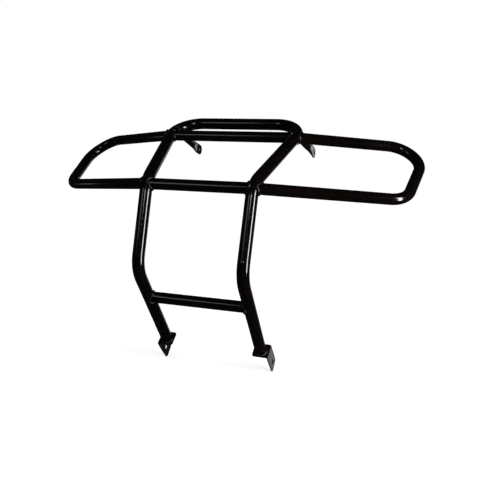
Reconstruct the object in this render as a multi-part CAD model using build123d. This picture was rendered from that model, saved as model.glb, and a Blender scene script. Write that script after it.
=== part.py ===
from build123d import *
from math import cos, radians, sin
import os

# Welded tube front bumper for a quad bike, in millimetres.
# Frame: +Z up, -Y forward, +X to the right of a person who stands in front and looks at it.
# The origin lies midway between the two lower bolt holes, on the axis that runs through both.
# One bent hoop carries three cross tubes, two side loops, two foot brackets and two rear stays.

# Tube sizes
hoop_diameter = 28.0
bar_diameter = 26.0
stay_diameter = 19.0
tube_wall = 2.0
hoop_bend_radius = 65.0
loop_bend_radius = 62.0

# Hoop seen from the side: leg, upright and slope, each measured between bend corners
leg_sweep_angle = 33.1
leg_length = 258.0
upright_lean_angle = 19.4
upright_length = 200.7
slope_rise_angle = 22.2
slope_length = 301.0

# Hoop seen from the front: distance of the legs and of each bend corner from the middle
leg_offset = 122.0
upper_bend_offset = 124.5
top_corner_offset = 174.5

# Cross tubes: where each one meets the hoop
lower_bar_bend_share = 0.39
upper_bar_slope_share = 0.758
rung_drop = 96.0

# Side loops: one direction for both arms of the loop
loop_back_angle = 26.4
loop_drop_angle = 5.5
loop_lower_reach = 342.0
loop_upper_reach = 334.0

# Foot brackets: steel angle with a base across the end of the leg and a tab down its outer edge
bracket_thickness = 3.0
bracket_depth = 37.0
bracket_setback = 1.5
bracket_inner_reach = 18.5
bracket_tab_offset = 19.0
angle_inner_radius = 2.0
angle_outer_radius = 2.5
bracket_corner_radius = 5.0
tab_width = 35.0
tab_slant_angle = 8.0
tab_end_reach = 24.0
tab_corner_radius = 7.0
foot_hole_diameter = 12.0
foot_hole_drop = 48.5
foot_hole_setback = 5.4

# Rear stays: round tube pressed flat at its rear end
stay_root_gap = 27.0
stay_root_inset = 12.0
stay_spread = 11.0
stay_back = 170.0
stay_drop = 60.0
stay_flat_angle = 20.0
stay_flat_width = 28.0
stay_flat_thickness = 4.0
stay_flat_length = 22.0
stay_taper_length = 40.0
stay_root_overrun = 12.0
stay_hole_diameter = 11.0

# Weld beads: size of the bead on each surface and the stretch of tube end it can lie on
weld_size = 3.0
weld_near = 4.0
weld_far = 50.0

hoop_radius = hoop_diameter / 2
bar_radius = bar_diameter / 2
stay_radius = stay_diameter / 2


def side_direction(angle_from_vertical):
    """Unit vector in the side view, tilted back from straight up by the angle."""
    return Vector(0, sin(radians(angle_from_vertical)), cos(radians(angle_from_vertical)))


# Directions of the three straight runs of the hoop in the side view
leg_up = side_direction(-leg_sweep_angle)
leg_across = side_direction(90 - leg_sweep_angle)
upright_up = side_direction(upright_lean_angle)
slope_up = side_direction(90 - slope_rise_angle)

# Bend corners of the right half of the hoop, worked out from the bolt hole at the origin
foot_side = leg_up * foot_hole_drop - leg_across * foot_hole_setback
lower_bend_side = foot_side + leg_up * leg_length
upper_bend_side = lower_bend_side + upright_up * upright_length
top_corner_side = upper_bend_side + slope_up * slope_length
foot_point = Vector(leg_offset, foot_side.Y, foot_side.Z)
lower_bend = Vector(leg_offset, lower_bend_side.Y, lower_bend_side.Z)
upper_bend = Vector(upper_bend_offset, upper_bend_side.Y, upper_bend_side.Z)
top_corner = Vector(top_corner_offset, top_corner_side.Y, top_corner_side.Z)


def mirrored(point):
    """The same point on the left half."""
    return Vector(-point.X, point.Y, point.Z)


def bent_path(points, radius):
    """Centre line of a bent tube: straight runs joined by arcs of one bend radius."""
    edges = []
    start = points[0]
    for before, corner, after in zip(points, points[1:], points[2:]):
        back = (before - corner).normalized()
        ahead = (after - corner).normalized()
        half_angle = radians(back.get_angle(ahead) / 2)
        tangent_length = radius * cos(half_angle) / sin(half_angle)
        middle = (back + ahead).normalized()
        arc_start = corner + back * tangent_length
        arc_end = corner + ahead * tangent_length
        arc_middle = corner + middle * (radius / sin(half_angle) - radius)
        edges.append(Edge.make_line(start, arc_start))
        edges.append(Edge.make_three_point_arc(arc_start, arc_middle, arc_end))
        start = arc_end
    edges.append(Edge.make_line(start, points[-1]))
    return Wire(edges)


hoop_points = [foot_point, lower_bend, upper_bend, top_corner]
hoop_points += [mirrored(point) for point in reversed(hoop_points)]
hoop_path = bent_path(hoop_points, hoop_bend_radius)

# Joints on the right half of the hoop
upper_bend_arc = hoop_path.edges()[3]
lower_joint = upper_bend_arc @ lower_bar_bend_share
upper_joint = upper_bend + (top_corner - upper_bend) * upper_bar_slope_share
rung_joint = lower_bend + (foot_point - lower_bend).normalized() * rung_drop

# Corners of the right side loop
loop_direction = Vector(
    cos(radians(loop_back_angle)) * cos(radians(loop_drop_angle)),
    sin(radians(loop_back_angle)) * cos(radians(loop_drop_angle)),
    -sin(radians(loop_drop_angle)),
)
loop_lower_corner = lower_joint + loop_direction * loop_lower_reach
loop_upper_corner = upper_joint + loop_direction * loop_upper_reach
loop_path = bent_path([lower_joint, loop_lower_corner, loop_upper_corner, upper_joint], loop_bend_radius)

# Line of the right rear stay, from the corner of hoop and upper cross tube to its bolt hole
slope_direction = (top_corner - upper_bend).normalized()
stay_root = upper_joint + slope_direction * stay_root_gap - Vector(stay_root_inset, 0, 0)
stay_hole = stay_root + Vector(stay_spread, stay_back, -stay_drop)
stay_direction = (stay_hole - stay_root).normalized()
stay_start = stay_root - stay_direction * stay_root_overrun
stay_flat_direction = side_direction(90 + stay_flat_angle)


def round_bar(path, radius):
    """Solid round bar along a path, used for tubes and for cutting saddle ends."""
    start_plane = Plane(origin=path @ 0, z_dir=path % 0)
    return sweep(start_plane * Circle(radius), path=path)


def tube(path, radius):
    """Round tube with the common wall along a path."""
    return round_bar(path, radius) - round_bar(path, radius - tube_wall)


def straight(start, end):
    """Straight path between two points."""
    return Wire([Edge.make_line(start, end)])


def left_of(shape):
    """The mirrored copy for the left half."""
    return mirror(shape, about=Plane.YZ)


hoop_solid = round_bar(hoop_path, hoop_radius)
upper_bar_path = straight(mirrored(upper_joint), upper_joint)
lower_bar_path = straight(mirrored(lower_joint), lower_joint)
rung_path = straight(mirrored(rung_joint), rung_joint)


def main_hoop():
    """The long tube with its six bends, cut square at both feet."""
    return tube(hoop_path, hoop_radius)


def cross_tube(path):
    """A straight tube between the two halves of the hoop with saddle-cut ends."""
    return tube(path, bar_radius) - hoop_solid


def side_loop():
    """The right C-shaped tube with both ends saddle-cut to the hoop."""
    return tube(loop_path, bar_radius) - hoop_solid


def foot_bracket():
    """The right bracket, a piece of steel angle: base across the leg end, tab down its outer edge."""
    outer = bracket_tab_offset + bracket_thickness / 2
    tab_length = foot_hole_drop + tab_end_reach + tab_width
    front_edge = bracket_setback - bracket_depth / 2
    back_edge = bracket_setback + bracket_depth / 2
    leg = Pos(-bracket_inner_reach, 0) * Rectangle(
        bracket_inner_reach + outer, bracket_thickness, align=(Align.MIN, Align.MAX)
    )
    side = Pos(outer, 0) * Rectangle(bracket_thickness, tab_length, align=(Align.MAX, Align.MAX))
    profile = leg + side
    inner_point = Vector(outer - bracket_thickness, -bracket_thickness)
    inner_corner = profile.vertices().sort_by_distance(inner_point)[0]
    profile = fillet(inner_corner, angle_inner_radius)
    outer_corner = profile.vertices().sort_by_distance(Vector(outer, 0))[0]
    profile = fillet(outer_corner, angle_outer_radius)
    plate = extrude(Plane.XZ * profile, bracket_depth, both=True)
    tab_block = RectangleRounded(tab_width, tab_end_reach * 2, tab_corner_radius)
    tab_block = Pos(foot_hole_setback, -foot_hole_drop) * Rot(0, 0, tab_slant_angle) * tab_block
    fold = Line((front_edge, -bracket_thickness), (back_edge, -bracket_thickness))
    base_edge = Rectangle(bracket_depth, bracket_thickness, align=(Align.CENTER, Align.MAX))
    base_edge = Pos(bracket_setback, 0) * base_edge
    outline = Plane.YZ * (make_hull(tab_block.edges() + [fold.edge()]) + base_edge)
    bracket = plate & extrude(outline, bracket_depth, both=True)
    inner_edges = bracket.edges().filter_by(Axis.Z).group_by(Axis.X)[0]
    bracket = fillet(inner_edges, bracket_corner_radius)
    hole_plane = Plane(origin=(0, foot_hole_setback, -foot_hole_drop), z_dir=(1, 0, 0))
    bracket -= extrude(hole_plane * Circle(foot_hole_diameter / 2), bracket_depth)
    seat = Plane(origin=foot_point, x_dir=(1, 0, 0), z_dir=leg_up)
    return seat * bracket


def rear_stay():
    """The right stay: round tube, pressed flat and drilled at the rear, cut to fit at the front."""
    taper_start = stay_hole - stay_direction * (stay_flat_length + stay_taper_length)
    taper_end = stay_hole - stay_flat_direction * stay_flat_length
    round_part = tube(straight(stay_start, taper_start), stay_radius)
    round_plane = Plane(origin=taper_start, x_dir=(1, 0, 0), z_dir=stay_direction)
    flat_plane = Plane(origin=taper_end, x_dir=(1, 0, 0), z_dir=stay_flat_direction)
    flat_outline = SlotOverall(stay_flat_width, stay_flat_thickness, rotation=90)
    taper = loft([round_plane * Circle(stay_radius), flat_plane * flat_outline])
    flat = extrude(flat_plane * flat_outline, stay_flat_length + stay_flat_width / 2)
    hole_plane = Plane(origin=stay_hole, z_dir=(1, 0, 0))
    end_disc = extrude(hole_plane * Circle(stay_flat_width / 2), stay_flat_width, both=True)
    body_block = extrude(flat_plane * Rectangle(stay_flat_width, stay_flat_width * 2), stay_flat_length)
    flat = flat & (end_disc + body_block)
    stay = round_part + taper + flat
    stay -= extrude(hole_plane * Circle(stay_hole_diameter / 2), stay_flat_width, both=True)
    stay = stay - hoop_solid - upper_bar_solid
    return stay.solids().sort_by(SortBy.VOLUME)[-1]


hoop_envelope = round_bar(hoop_path, hoop_radius + weld_size)
upper_bar_solid = round_bar(upper_bar_path, bar_radius)
upper_bar_envelope = round_bar(upper_bar_path, bar_radius + weld_size)


def weld_sleeve(start, direction, radius):
    """Sleeve of weld thickness around the end of a round bar."""
    near = start + direction * weld_near
    far = start + direction * weld_far
    return round_bar(straight(near, far), radius + weld_size) - round_bar(straight(start, far), radius)


def saddle_weld(joint, direction):
    """Weld bead all round the saddle joint of a bar on the hoop."""
    return (weld_sleeve(joint, direction, bar_radius) & hoop_envelope) - hoop_solid


def foot_weld_bead():
    """Fillet weld bead around the leg on top of the base plate of its bracket."""
    on_base = (Align.CENTER, Align.CENTER, Align.MIN)
    bead = Cone(hoop_radius + weld_size, hoop_radius, weld_size, align=on_base)
    return Plane(origin=foot_point, z_dir=leg_up) * bead - hoop_solid


def stay_weld_bead(neighbours):
    """Weld bead around the front end of the stay, on the hoop and the upper cross tube."""
    seats = hoop_envelope + upper_bar_envelope
    sleeve = weld_sleeve(stay_start, stay_direction, stay_radius)
    bead = (sleeve & seats) - hoop_solid - upper_bar_solid
    for neighbour in neighbours:
        bead -= neighbour
    return bead.solids().sort_by(SortBy.VOLUME)[-1]


def node_shapes():
    """Every sub-part by name."""
    hoop = main_hoop()
    upper_bar = cross_tube(upper_bar_path)
    lower_bar = cross_tube(lower_bar_path)
    rung = cross_tube(rung_path)
    loop = side_loop()
    bracket = foot_bracket()
    stay = rear_stay()
    left = Vector(-1, 0, 0)
    stay_bar = round_bar(straight(stay_start, stay_hole), stay_radius)
    upper_weld = saddle_weld(upper_joint, left) - stay_bar
    lower_weld = saddle_weld(lower_joint, left)
    rung_weld = saddle_weld(rung_joint, left)
    loop_upper_weld = saddle_weld(upper_joint, loop_direction)
    loop_lower_weld = saddle_weld(lower_joint, loop_direction)
    foot_weld = foot_weld_bead()
    stay_weld = stay_weld_bead([upper_weld, loop_upper_weld])
    shapes = {
        "main_hoop": hoop,
        "upper_cross_tube": upper_bar,
        "lower_cross_tube": lower_bar,
        "bottom_rung": rung,
    }
    pairs = {
        "side_loop": loop,
        "foot_bracket": bracket,
        "rear_stay": stay,
        "weld_upper_cross": upper_weld,
        "weld_lower_cross": lower_weld,
        "weld_rung": rung_weld,
        "weld_loop_upper": loop_upper_weld,
        "weld_loop_lower": loop_lower_weld,
        "weld_foot": foot_weld,
        "weld_stay": stay_weld,
    }
    for name, shape in pairs.items():
        shapes[name + "_right"] = shape
        shapes[name + "_left"] = left_of(shape)
    return shapes


os.makedirs("parts", exist_ok=True)
for node_name, node_shape in node_shapes().items():
    export_step(node_shape, "parts/" + node_name + ".step")
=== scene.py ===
from math import acos, cos, pi, radians, sin, tan

import bpy
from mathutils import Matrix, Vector


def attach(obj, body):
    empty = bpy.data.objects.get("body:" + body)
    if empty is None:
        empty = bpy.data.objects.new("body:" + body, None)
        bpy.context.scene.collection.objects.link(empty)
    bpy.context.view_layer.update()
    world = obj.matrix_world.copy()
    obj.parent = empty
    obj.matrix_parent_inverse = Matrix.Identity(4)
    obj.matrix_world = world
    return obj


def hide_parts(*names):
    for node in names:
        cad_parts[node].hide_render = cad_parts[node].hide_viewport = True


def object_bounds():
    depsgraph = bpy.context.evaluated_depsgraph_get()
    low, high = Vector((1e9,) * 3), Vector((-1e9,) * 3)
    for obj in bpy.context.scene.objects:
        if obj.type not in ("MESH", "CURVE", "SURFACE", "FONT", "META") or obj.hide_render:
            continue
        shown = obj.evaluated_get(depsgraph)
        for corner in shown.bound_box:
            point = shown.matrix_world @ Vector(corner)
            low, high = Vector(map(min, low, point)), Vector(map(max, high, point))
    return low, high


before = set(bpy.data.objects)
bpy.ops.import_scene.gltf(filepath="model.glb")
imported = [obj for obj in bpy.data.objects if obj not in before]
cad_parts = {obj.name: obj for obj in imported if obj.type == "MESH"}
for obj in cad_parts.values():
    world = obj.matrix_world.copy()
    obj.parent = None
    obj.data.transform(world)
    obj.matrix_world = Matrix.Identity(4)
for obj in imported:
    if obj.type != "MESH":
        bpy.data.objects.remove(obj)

cad_box = [list(corner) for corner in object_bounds()]

# Main hoop
# One long steel tube, bent on a round former, then powder coated gloss black together with
# everything that is welded to it. The clamp of the bender left a faint line at each lower bend.

# Coat: tints are shares of its tone, gloss runs between two shares of its roughness
COAT_IOR = 1.5
SEED_SHIFT = (1.0, 0.7, 1.3)
CLOUD_SCALE = 14.0
CLOUD_DETAIL = 4.0
DEEP_TINT = (0.75, 0.42, 0.35)
PALE_TINT = (1.7, 0.95, 0.8)
TINT_STOPS = (0.3, 0.75)
GLOSS_SPREAD = (0.8, 1.3)
DUST_SCALE = 170.0
DUST_REACH = (0.03, 0.06)
DUST_SHARE = 0.35
DUST_COLOUR = (0.04, 0.038, 0.036, 1.0)
PEEL_SCALE = 320.0
PEEL_DETAIL = 2.0
PEEL_DEPTH = 0.0002

# Line of the clamp on each upright, a little higher on the right one, in metres and degrees
UPRIGHT_LEAN = 19.4
CLAMP_LINE_SLANT = 0.0205
CLAMP_LINE_LEVEL = 0.212
CLAMP_LINE_WIDTH = 0.003
CLAMP_LINE_HEIGHT = 0.00022


def plug(tree, node, sockets):
    """Give each socket of a shader node a plain value, or the output that feeds it."""
    for socket, value in sockets.items():
        if isinstance(value, bpy.types.NodeSocket):
            tree.links.new(value, node.inputs[socket])
        else:
            node.inputs[socket].default_value = value


def add_node(tree, kind, sockets, **settings):
    """New shader node of a kind, with its settings made and its sockets plugged."""
    node = tree.nodes.new("ShaderNode" + kind)
    for setting, value in settings.items():
        setattr(node, setting, value)
    plug(tree, node, sockets)
    return node


def combined(tree, operation, first, second):
    """Output of a Math node on two values or outputs."""
    return add_node(tree, "Math", {0: first, 1: second}, operation=operation).outputs["Value"]


def graded(tree, value, span, grades, **settings):
    """Output that goes from the first grade to the second while the value crosses the span."""
    sockets = {"Value": value, "From Min": span[0], "From Max": span[1]}
    sockets |= {"To Min": grades[0], "To Max": grades[1]}
    return add_node(tree, "MapRange", sockets, **settings).outputs["Result"]


def black_coat(name, tone, roughness, peel=0.05, seed=0.0):
    """Gloss black powder coat: slightly uneven black, faint orange peel and a few dust specks."""
    material = bpy.data.materials.new(name)
    material.use_nodes = True
    tree = material.node_tree
    surface = add_node(tree, "TexCoord", {}).outputs["Object"]
    shift = [seed * share for share in SEED_SHIFT]
    place = add_node(tree, "Mapping", {"Vector": surface, "Location": shift}).outputs["Vector"]

    sockets = {"Vector": place, "Scale": CLOUD_SCALE, "Detail": CLOUD_DETAIL}
    cloud = add_node(tree, "TexNoise", sockets).outputs["Fac"]
    black = add_node(tree, "ValToRGB", {"Fac": cloud})
    for stop, position, tint in zip(black.color_ramp.elements, TINT_STOPS, (DEEP_TINT, PALE_TINT)):
        stop.position = position
        stop.color = [tone * share for share in tint] + [1.0]
    shine = graded(tree, cloud, (0.0, 1.0), [roughness * share for share in GLOSS_SPREAD])

    speck = add_node(tree, "TexVoronoi", {"Vector": place, "Scale": DUST_SCALE})
    dust = graded(tree, speck.outputs["Distance"], DUST_REACH, (DUST_SHARE, 0.0))
    sockets = {"Factor": dust, "A": black.outputs["Color"], "B": DUST_COLOUR}
    dusty = add_node(tree, "Mix", sockets, data_type="RGBA")

    sockets = {"Vector": place, "Scale": PEEL_SCALE, "Detail": PEEL_DETAIL}
    skin = add_node(tree, "TexNoise", sockets).outputs["Fac"]
    bump = add_node(tree, "Bump", {"Height": skin, "Strength": peel, "Distance": PEEL_DEPTH})

    sockets = {"Metallic": 0.0, "IOR": COAT_IOR, "Base Color": dusty.outputs["Result"]}
    sockets |= {"Roughness": shine, "Normal": bump.outputs["Normal"]}
    plug(tree, tree.nodes["Principled BSDF"], sockets)
    return material


def clamp_line(material, way, level):
    """Faint raised line round a tube, where the plane of this normal and level cuts it."""
    tree = material.node_tree
    shader = tree.nodes["Principled BSDF"]
    skin = shader.inputs["Normal"].links[0].from_socket
    surface = add_node(tree, "TexCoord", {}).outputs["Object"]
    along = add_node(tree, "VectorMath", {0: surface, 1: tuple(way)}, operation="DOT_PRODUCT")
    past = combined(tree, "SUBTRACT", along.outputs["Value"], level)
    away = add_node(tree, "Math", {0: past}, operation="ABSOLUTE").outputs["Value"]
    span, heights = (0.0, CLAMP_LINE_WIDTH), (CLAMP_LINE_HEIGHT, 0.0)
    ridge = graded(tree, away, span, heights, interpolation_type="SMOOTHSTEP")
    bump = add_node(tree, "Bump", {"Height": ridge, "Strength": 1.0, "Distance": 1.0, "Normal": skin})
    plug(tree, shader, {"Normal": bump.outputs["Normal"]})


def recoat(material, *nodes):
    """Put one coat on the named parts of the frame."""
    for node in nodes:
        piece = bpy.data.objects[node]
        for slot in piece.material_slots:
            slot.material = material


def up_at(angle):
    """Unit vector in the side view, tilted back from straight up by an angle in degrees."""
    return Vector((0.0, sin(radians(angle)), cos(radians(angle))))


upright_up = up_at(UPRIGHT_LEAN)
hoop_coat = black_coat("hoop_coat", tone=0.0022, roughness=0.12)
clamp_line(hoop_coat, upright_up - Vector((CLAMP_LINE_SLANT, 0.0, 0.0)), CLAMP_LINE_LEVEL)
recoat(hoop_coat, "main_hoop")

# Cross tubes and rung
# Three straight steel tubes of the thinner size, saddle-cut at both ends so that they sit
# against the hoop, then welded all round.
bar_coat = black_coat("bar_coat", tone=0.0022, roughness=0.13, seed=3.0)
recoat(bar_coat, "upper_cross_tube", "lower_cross_tube", "bottom_rung")

# Side loops
# Each loop is one C-shaped tube of the thinner size with two bends, swept back and slightly
# down, with both ends saddle-cut to the outer side of the hoop.
loop_coat = black_coat("loop_coat", tone=0.0022, roughness=0.12, seed=7.0)
recoat(loop_coat, "side_loop_right", "side_loop_left")

# Foot brackets
# Each bracket is a piece of 3 mm steel angle: a base across the cut end of the leg and a tab
# down its outer edge, with round corners and one bolt hole.
bracket_coat = black_coat("bracket_coat", tone=0.0026, roughness=0.18, peel=0.1, seed=11.0)
recoat(bracket_coat, "foot_bracket_right", "foot_bracket_left")

# Rear stays
# Each stay is a thinner tube that runs back from the upper joint and is pressed flat and
# drilled at its rear end.
stay_coat = black_coat("stay_coat", tone=0.0026, roughness=0.12, peel=0.08, seed=15.0)
recoat(stay_coat, "rear_stay_right", "rear_stay_left")

# Weld beads
# A bead of weld metal runs around every joint and is coated with the tubes. Each one is a
# rounded cord with shallow ripples, laid in the corner between the surfaces that it joins.

# Lines of the right half that the beads follow, in metres and degrees
HOOP_RADIUS = 0.014
BAR_RADIUS = 0.013
STAY_RADIUS = 0.0095
BEND_RADIUS = 0.065
LEG_SWEEP = 33.1
LEG_LENGTH = 0.258
UPRIGHT_LENGTH = 0.2007
SLOPE_RISE = 22.2
SLOPE_LENGTH = 0.301
LEG_OFFSET = 0.122
UPPER_BEND_OFFSET = 0.1245
TOP_CORNER_OFFSET = 0.1745
FOOT_HOLE_DROP = 0.0485
FOOT_HOLE_SETBACK = 0.0054
LOWER_BAR_BEND_SHARE = 0.39
UPPER_BAR_SLOPE_SHARE = 0.758
RUNG_DROP = 0.096
LOOP_BACK = 26.4
LOOP_DROP = 5.5
STAY_ROOT_GAP = 0.027
STAY_ROOT_INSET = 0.012
STAY_SPREAD = 0.011
STAY_BACK = 0.170
STAY_DROP = 0.060
BEND_STEPS = 24
UPPER_BEND_STEPS = 25

# Search for the seam of a bar, and size of the cord
NEAR_REACH = 0.11
SEAM_POINTS = 72
SEAM_START = 0.06
SEAM_END = -0.02
SEAM_STEP = 0.002
SEAM_HALVINGS = 8
SEAM_LIFT = 0.0006
BEAD_RADIUS = 0.0026
BEAD_SIDES = 14
RIPPLE_PITCH = 0.0028
RIPPLE_STEPS = 4
RIPPLE_VALLEY = 0.92
RIPPLE_RISE = 0.13
RIPPLE_DRIFT = 0.4
DRIFT_PACE = 0.37

leg_up = up_at(-LEG_SWEEP)
leg_across = up_at(90.0 - LEG_SWEEP)
slope_up = up_at(90.0 - SLOPE_RISE)
inward = Vector((-1.0, 0.0, 0.0))

foot = leg_up * FOOT_HOLE_DROP - leg_across * FOOT_HOLE_SETBACK - inward * LEG_OFFSET
lower_bend = foot + leg_up * LEG_LENGTH
upper_bend = lower_bend + upright_up * UPRIGHT_LENGTH - inward * (UPPER_BEND_OFFSET - LEG_OFFSET)
top_corner = upper_bend + slope_up * SLOPE_LENGTH - inward * (TOP_CORNER_OFFSET - UPPER_BEND_OFFSET)
top_middle = Vector((0.0, top_corner.y, top_corner.z))


def bend_point(before, corner, after, share):
    """Point at this share of the arc that the hoop follows round one corner."""
    back = (before - corner).normalized()
    ahead = (after - corner).normalized()
    half = acos(max(-1.0, min(1.0, back.dot(ahead)))) / 2
    centre = corner + (back + ahead).normalized() * (BEND_RADIUS / sin(half))
    start = corner + back * (BEND_RADIUS / tan(half))
    end = corner + ahead * (BEND_RADIUS / tan(half))
    turn = pi - 2 * half
    first = (start - centre) / BEND_RADIUS
    second = ((end - centre) / BEND_RADIUS - first * cos(turn)) / sin(turn)
    return centre + (first * cos(turn * share) + second * sin(turn * share)) * BEND_RADIUS


def bend_line(before, corner, after, steps):
    """Points all along the arc that the hoop follows round one corner."""
    return [bend_point(before, corner, after, k / steps) for k in range(steps + 1)]


hoop_line = [foot] + bend_line(foot, lower_bend, upper_bend, BEND_STEPS)
hoop_line += bend_line(lower_bend, upper_bend, top_corner, UPPER_BEND_STEPS)
hoop_line += bend_line(upper_bend, top_corner, top_middle, BEND_STEPS)
lower_joint = bend_point(lower_bend, upper_bend, top_corner, LOWER_BAR_BEND_SHARE)
upper_joint = upper_bend.lerp(top_corner, UPPER_BAR_SLOPE_SHARE)
rung_joint = lower_bend - leg_up * RUNG_DROP
upper_bar_line = [upper_joint, Vector((0.0, upper_joint.y, upper_joint.z))]


def gap_to(point, line, radius):
    """Distance of a point from the surface of a round bar that follows a line."""
    distances = []
    for start, end in zip(line, line[1:]):
        run = end - start
        share = max(0.0, min(1.0, (point - start).dot(run) / run.length_squared))
        distances.append((point - start - run * share).length)
    return min(distances) - radius


def near_part(line, point):
    """The stretch of a line whose segments pass near a point."""
    keep = [k for k in range(len(line) - 1) if gap_to(point, line[k : k + 2], 0.0) < NEAR_REACH]
    return line[keep[0] : keep[-1] + 2]


def clear_of(seats, point):
    """Whether a point lies outside all of the bars, each given by its line and radius."""
    return min(gap_to(point, line, radius) for line, radius in seats) > 0.0


def round_about(side, other):
    """Unit vectors all the way round a bar, starting at one side and turning to the other."""
    turns = [2 * pi * k / SEAM_POINTS for k in range(SEAM_POINTS)]
    return [side * cos(turn) + other * sin(turn) for turn in turns]


def seam(joint, way, radius, seats):
    """Line where the surface of a round bar leaves the bars that it is welded to."""
    side = way.orthogonal().normalized()
    sides = round_about(side, way.cross(side))
    points = []
    for out in sides:
        start = joint + out * radius
        far = SEAM_START
        while far > SEAM_END and clear_of(seats, start + way * far):
            far -= SEAM_STEP
        low, high = far, far + SEAM_STEP
        for _ in range(SEAM_HALVINGS):
            between = (low + high) / 2
            if clear_of(seats, start + way * between):
                high = between
            else:
                low = between
        points.append(start + way * (high + SEAM_LIFT) + out * SEAM_LIFT)
    return points, sides


def even_loop(points, sides, spacing):
    """The same closed line with evenly spaced points."""
    lengths = [(points[(k + 1) % len(points)] - points[k]).length for k in range(len(points))]
    total = sum(lengths)
    count = int(total / spacing)
    line, out = [], []
    k, passed = 0, 0.0
    for j in range(count):
        goal = total * j / count
        while passed + lengths[k] < goal:
            passed += lengths[k]
            k += 1
        share = (goal - passed) / lengths[k]
        line.append(points[k].lerp(points[(k + 1) % len(points)], share))
        out.append(sides[k].lerp(sides[(k + 1) % len(points)], share).normalized())
    return line, out


def rippled_cord(name, points, sides):
    """Closed rippled cord along a weld seam."""
    line, out = even_loop(points, sides, RIPPLE_PITCH / RIPPLE_STEPS)
    count = len(line)
    verts, faces = [], []
    for k in range(count):
        run = (line[(k + 1) % count] - line[k - 1]).normalized()
        side = (out[k] - run * out[k].dot(run)).normalized()
        other = run.cross(side)
        wave = pi * k / RIPPLE_STEPS + RIPPLE_DRIFT * sin(k * DRIFT_PACE)
        ripple = RIPPLE_VALLEY + RIPPLE_RISE * abs(sin(wave))
        for j in range(BEAD_SIDES):
            turn = 2 * pi * j / BEAD_SIDES
            verts.append(line[k] + (side * cos(turn) + other * sin(turn)) * BEAD_RADIUS * ripple)
    for k in range(count):
        ring = k * BEAD_SIDES
        ahead = ((k + 1) % count) * BEAD_SIDES
        for j in range(BEAD_SIDES):
            i = (j + 1) % BEAD_SIDES
            faces.append((ring + j, ring + i, ahead + i, ahead + j))
    mesh = bpy.data.meshes.new(name)
    mesh.from_pydata([tuple(v) for v in verts], [], faces)
    mesh.update()
    for polygon in mesh.polygons:
        polygon.use_smooth = True
    piece = bpy.data.objects.new(name, mesh)
    bpy.context.collection.objects.link(piece)
    return piece


def flipped(vectors, flip):
    """The vectors as they are for a flip of 1, and their mirror images for a flip of -1."""
    return [Vector((v.x * flip, v.y, v.z)) for v in vectors]


weld_coat = black_coat("weld_coat", tone=0.003, roughness=0.34, peel=0.12, seed=19.0)
back, drop = radians(LOOP_BACK), radians(LOOP_DROP)
loop_way = Vector((cos(back) * cos(drop), sin(back) * cos(drop), -sin(drop)))
slope_way = (top_corner - upper_bend).normalized()
stay_root = upper_joint + slope_way * STAY_ROOT_GAP + inward * STAY_ROOT_INSET
stay_way = Vector((STAY_SPREAD, STAY_BACK, -STAY_DROP)).normalized()
welded_bars = {
    "upper_cross": (upper_joint, inward, BAR_RADIUS),
    "lower_cross": (lower_joint, inward, BAR_RADIUS),
    "rung": (rung_joint, inward, BAR_RADIUS),
    "loop_upper": (upper_joint, loop_way, BAR_RADIUS),
    "loop_lower": (lower_joint, loop_way, BAR_RADIUS),
    "stay": (stay_root, stay_way, STAY_RADIUS),
}
seams = {}
for seam_name, (joint, way, radius) in welded_bars.items():
    seats = [(near_part(hoop_line, joint), HOOP_RADIUS)]
    if seam_name == "stay":
        seats.append((upper_bar_line, BAR_RADIUS))
    seams[seam_name] = seam(joint, way, radius, seats)
foot_sides = round_about(leg_across, inward)
foot_line = [foot + leg_up * SEAM_LIFT + out * (HOOP_RADIUS + SEAM_LIFT) for out in foot_sides]
seams["foot"] = (foot_line, foot_sides)
for seam_name, (points, sides) in seams.items():
    for side_name, flip in (("right", 1.0), ("left", -1.0)):
        bead_name = "bead_" + seam_name + "_" + side_name
        bead = rippled_cord(bead_name, flipped(points, flip), flipped(sides, flip))
        bead.data.materials.append(weld_coat)
        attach(bead, "root")
        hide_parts("weld_" + seam_name + "_" + side_name)

# Studio
# A white room for the camera. The diffuse light of the room is weak, and the gloss sees it dark
# but for one low patch of white behind the bumper.
PATCH_TURN = 6.0
PATCH_EDGES = (14.0, 9.5)
PATCH_TOP = (0.0, 0.06)
PATCH_FOOT = (-0.50, -0.44)
PATCH_WHITE = 0.65
DIFFUSE_WHITE = 0.4
DARK_ROOM = 0.012

world = bpy.data.worlds.new("studio")
bpy.context.scene.world = world
world.use_nodes = True
sky = world.node_tree
ray = add_node(sky, "LightPath", {}).outputs
seen = add_node(sky, "TexCoord", {}).outputs["Generated"]
flat = add_node(sky, "VectorMath", {0: seen, 1: (1.0, 1.0, 0.0)}, operation="MULTIPLY")
level = add_node(sky, "VectorMath", {0: flat.outputs["Vector"]}, operation="NORMALIZE")
patch_way = (sin(radians(PATCH_TURN)), cos(radians(PATCH_TURN)), 0.0)
sockets = {0: level.outputs["Vector"], 1: patch_way}
facing = add_node(sky, "VectorMath", sockets, operation="DOT_PRODUCT").outputs["Value"]
height = add_node(sky, "SeparateXYZ", {"Vector": seen}).outputs["Z"]
across = graded(sky, facing, [cos(radians(edge)) for edge in PATCH_EDGES], (0.0, PATCH_WHITE))
below = graded(sky, height, PATCH_TOP, (1.0, 0.0))
above = graded(sky, height, PATCH_FOOT, (0.0, 1.0))
patch = combined(sky, "MULTIPLY", across, combined(sky, "MULTIPLY", below, above))
mirrored = combined(sky, "MULTIPLY", ray["Is Glossy Ray"], patch)
diffuse = combined(sky, "MULTIPLY", ray["Is Diffuse Ray"], DIFFUSE_WHITE)
strength = combined(sky, "MAXIMUM", ray["Is Camera Ray"], ray["Is Transmission Ray"])
for share in (mirrored, diffuse, DARK_ROOM):
    strength = combined(sky, "MAXIMUM", strength, share)
plug(sky, sky.nodes["Background"], {"Color": (1.0, 1.0, 1.0, 1.0), "Strength": strength})

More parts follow.
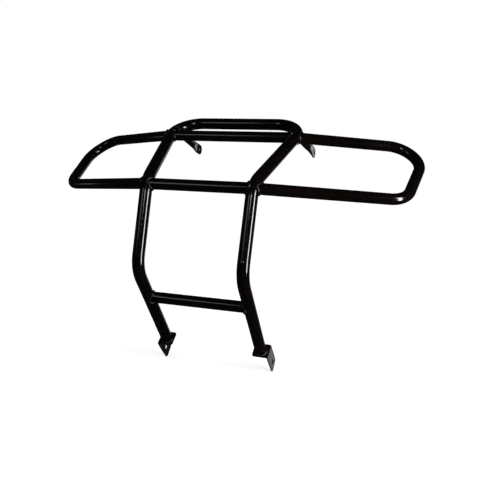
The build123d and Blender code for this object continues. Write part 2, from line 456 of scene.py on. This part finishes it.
# Floor
# A white sheet at the height of the tabs' lowest points, which keeps a faint shadow. The gloss
# doesn't see it, and the light of the lamps passes through it.
FLOOR_HALF = 8.0
FLOOR_COLOUR = (0.8, 0.8, 0.8, 1.0)
GLOW_REACH = (0.4, 2.4)
GLOW_WHITE = (0.62, 0.70)

floor_level = cad_box[0][2]
corners = [(-1, -1), (1, -1), (1, 1), (-1, 1)]
floor_mesh = bpy.data.meshes.new("floor")
floor_verts = [(x * FLOOR_HALF, y * FLOOR_HALF, floor_level) for x, y in corners]
floor_mesh.from_pydata(floor_verts, [], [(0, 1, 2, 3)])
floor = bpy.data.objects.new("floor", floor_mesh)
bpy.context.collection.objects.link(floor)

floor_paint = bpy.data.materials.new("floor_paint")
floor_paint.use_nodes = True
floor_mesh.materials.append(floor_paint)
ground = floor_paint.node_tree
ground.nodes.remove(ground.nodes["Principled BSDF"])
floor_ray = add_node(ground, "LightPath", {}).outputs
matt = add_node(ground, "BsdfDiffuse", {"Color": FLOOR_COLOUR}).outputs["BSDF"]
spot = add_node(ground, "TexCoord", {}).outputs["Object"]
distance = add_node(ground, "VectorMath", {0: spot}, operation="LENGTH").outputs["Value"]
white = graded(ground, distance, GLOW_REACH, GLOW_WHITE)
white = combined(ground, "MULTIPLY", floor_ray["Is Camera Ray"], white)
glow = add_node(ground, "Emission", {"Strength": white}).outputs["Emission"]
pale = add_node(ground, "AddShader", {0: matt, 1: glow}).outputs["Shader"]
unseen = combined(ground, "MAXIMUM", floor_ray["Is Glossy Ray"], floor_ray["Is Shadow Ray"])
clear = add_node(ground, "BsdfTransparent", {}).outputs["BSDF"]
mixed = add_node(ground, "MixShader", {"Fac": unseen, 1: pale, 2: clear}).outputs["Shader"]
plug(ground, ground.nodes["Material Output"], {"Surface": mixed})

# Lamps
# Four soft lamps that the camera doesn't see: a tall one on the right, two dim ones in front and
# a tiny one near the left loop. Their mirror images are the streaks on the tubes.


def soft_lamp(name, aim, azimuth, elevation, away, width, height, watts):
    """Rectangular soft lamp placed around the aim point, facing it."""
    a, e = radians(azimuth), radians(elevation)
    way = Vector((sin(a) * cos(e), -cos(a) * cos(e), sin(e)))
    data = bpy.data.lights.new(name, "AREA")
    data.shape = "RECTANGLE"
    data.size = width
    data.size_y = height
    data.energy = watts
    lamp = bpy.data.objects.new(name, data)
    lamp.location = aim + way * away
    lamp.rotation_euler = way.to_track_quat("Z", "Y").to_euler()
    lamp.visible_camera = False
    bpy.context.collection.objects.link(lamp)


middle = Vector((0.0, 0.0, 0.33))
left_arm = Vector((-0.32, -0.02, 0.415))
soft_lamp("key", middle, azimuth=77.0, elevation=6.0, away=1.9, width=0.36, height=1.3, watts=36.0)
soft_lamp("fill", middle, azimuth=-29.0, elevation=28.7, away=4.8, width=1.42, height=1.16, watts=8.6)
soft_lamp("catch", middle, azimuth=15.0, elevation=32.4, away=2.4, width=0.36, height=0.4, watts=5.6)
soft_lamp("side", left_arm, azimuth=-86.6, elevation=-3.5, away=0.75, width=0.03, height=0.08, watts=0.019)

# Camera
# It stands where the photograph was taken from, to the right of the middle and a little above,
# and its lens gives the photograph's frame.
PHOTO_PIXELS = 480.0
FOCAL_PIXELS = 614.8
SENSOR_WIDTH = 36.0
CLIP_END = 100.0
CAMERA_AZIMUTH = 18.83
CAMERA_ELEVATION = 12.71
CAMERA_PLACE = (0.5151, -1.3368, 0.6137)

camera_data = bpy.data.cameras.new("camera")
camera_data.sensor_width = SENSOR_WIDTH
camera_data.lens = FOCAL_PIXELS / PHOTO_PIXELS * SENSOR_WIDTH
camera_data.clip_end = CLIP_END
camera = bpy.data.objects.new("camera", camera_data)
camera.location = CAMERA_PLACE
camera.rotation_euler = (pi / 2 - radians(CAMERA_ELEVATION), 0.0, radians(CAMERA_AZIMUTH))
bpy.context.collection.objects.link(camera)
bpy.context.scene.camera = camera
bpy.context.scene.view_settings.view_transform = "Standard"
